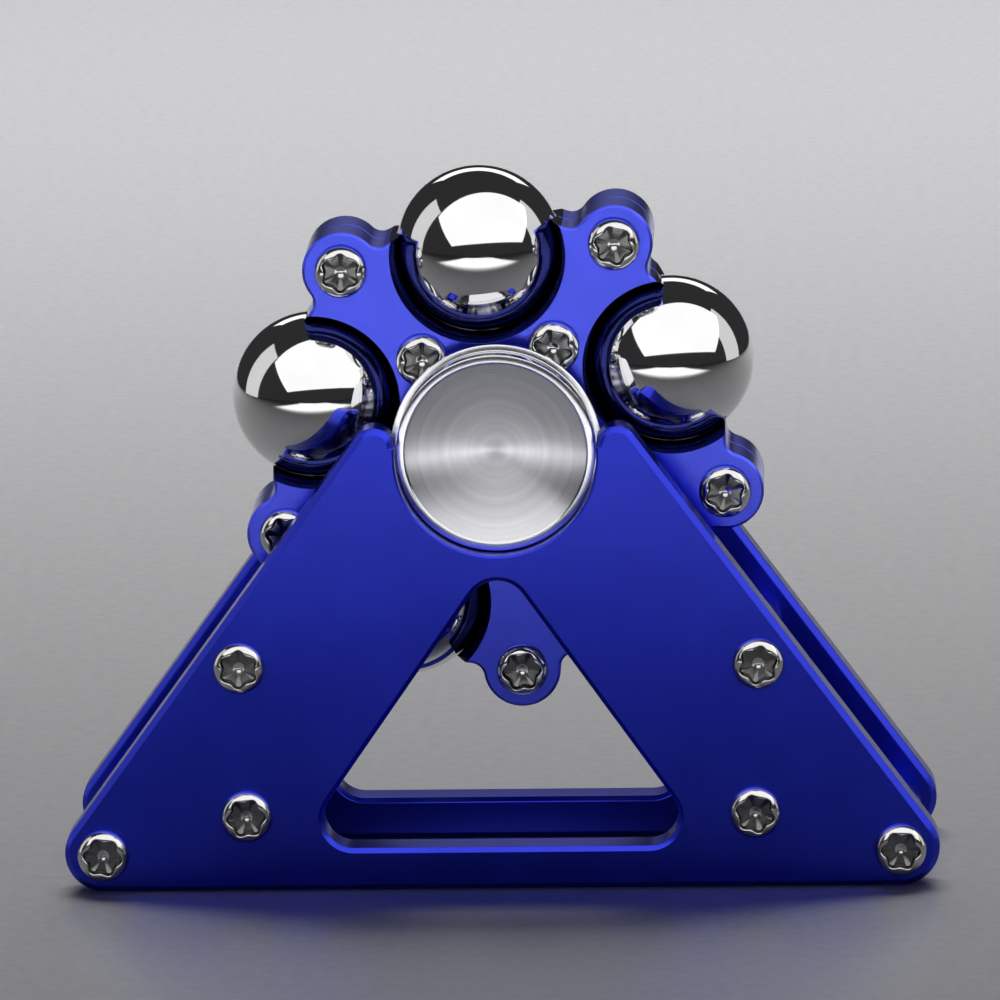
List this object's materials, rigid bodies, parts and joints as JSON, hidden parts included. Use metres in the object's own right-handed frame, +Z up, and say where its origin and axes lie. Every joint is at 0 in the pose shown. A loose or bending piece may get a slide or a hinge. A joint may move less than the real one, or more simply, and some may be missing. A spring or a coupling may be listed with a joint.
{
  "type": "fidget spinner",
  "caption": "Desk fidget spinner: a five-lobed wheel with captive steel balls spins on a bearing between finger caps that rest in the cradles of a two-plate stand.",
  "frame": {"origin": "on the table, under the middle of the stand", "axes": "+X to the right along the stand's width, +Y to the back along the wheel's axis, +Z up"},
  "size_m": [0.0672, 0.0226, 0.0546],
  "materials": {
    "stand_plates": "satin blue anodised",
    "wheel_plates": "satin blue anodised",
    "standoffs": "satin blue anodised",
    "screws": "polished stainless steel",
    "weight_balls": "mirror-polished bearing steel",
    "finger_caps": "turned aluminium with concentric tool marks",
    "steel_hardware": "stainless steel",
    "bearing_steel": "ground bearing steel",
    "bearing_cage": "stamped brass"
  },
  "bodies": {
    "stand": {"stand_plate_front": "stand_plates", "stand_plate_rear": "stand_plates", "standoff_upper_left": "standoffs", "standoff_upper_right": "standoffs", "standoff_middle_left": "standoffs", "standoff_middle_right": "standoffs", "standoff_corner_left": "standoffs", "standoff_corner_right": "standoffs", "stand_screws_front": "screws", "stand_screws_rear": "screws"},
    "axle": {"finger_cap_front": "finger_caps", "finger_cap_rear": "finger_caps", "cap_stud": "steel_hardware", "bearing_inner_ring": "bearing_steel", "spacer_washer_front": "steel_hardware", "spacer_washer_rear": "steel_hardware"},
    "wheel": {"wheel_plate_front": "wheel_plates", "wheel_plate_rear": "wheel_plates", "bearing_outer_ring": "bearing_steel", "bearing_shield_front": "bearing_steel", "bearing_shield_rear": "bearing_steel", "arm_screws_outer": "screws", "arm_screws_inner": "screws"},
    "bearing_cage_set": {"bearing_cage": "bearing_cage", "bearing_balls": "bearing_steel"},
    "ball_1": {"weight_ball_1": "weight_balls"},
    "ball_2": {"weight_ball_2": "weight_balls"},
    "ball_3": {"weight_ball_3": "weight_balls"},
    "ball_4": {"weight_ball_4": "weight_balls"},
    "ball_5": {"weight_ball_5": "weight_balls"}
  },
  "joints": [
    {"name": "spinner_lift", "type": "slide", "parent": "stand", "child": "axle", "axis": [0, 0, 1], "range_m": [0, 0.03]},
    {"name": "wheel_spin", "type": "hinge", "parent": "axle", "child": "wheel", "pos_m": [0, 0, 0.0338], "axis": [0, 1, 0], "continuous": true},
    {"name": "cage_spin", "type": "hinge", "parent": "axle", "child": "bearing_cage_set", "pos_m": [0, 0, 0.0338], "axis": [0, 1, 0], "continuous": true},
    {"name": "ball_1_roll", "type": "hinge", "parent": "wheel", "child": "ball_1", "pos_m": [-0.00132, 0, 0.04826], "axis": [-0.9959, 0, -0.0906], "continuous": true},
    {"name": "ball_2_roll", "type": "hinge", "parent": "wheel", "child": "ball_2", "pos_m": [-0.01416, 0, 0.03702], "axis": [-0.2215, 0, -0.9751], "continuous": true},
    {"name": "ball_3_roll", "type": "hinge", "parent": "wheel", "child": "ball_3", "pos_m": [-0.00743, 0, 0.02133], "axis": [0.859, 0, -0.512], "continuous": true},
    {"name": "ball_4_roll", "type": "hinge", "parent": "wheel", "child": "ball_4", "pos_m": [0.00956, 0, 0.02287], "axis": [0.7524, 0, 0.6587], "continuous": true},
    {"name": "ball_5_roll", "type": "hinge", "parent": "wheel", "child": "ball_5", "pos_m": [0.01335, 0, 0.03952], "axis": [-0.3939, 0, 0.9191], "continuous": true}
  ],
  "couplings": [
    {"joint": "cage_spin", "follows": "wheel_spin", "ratio": 0.5834}
  ]
}
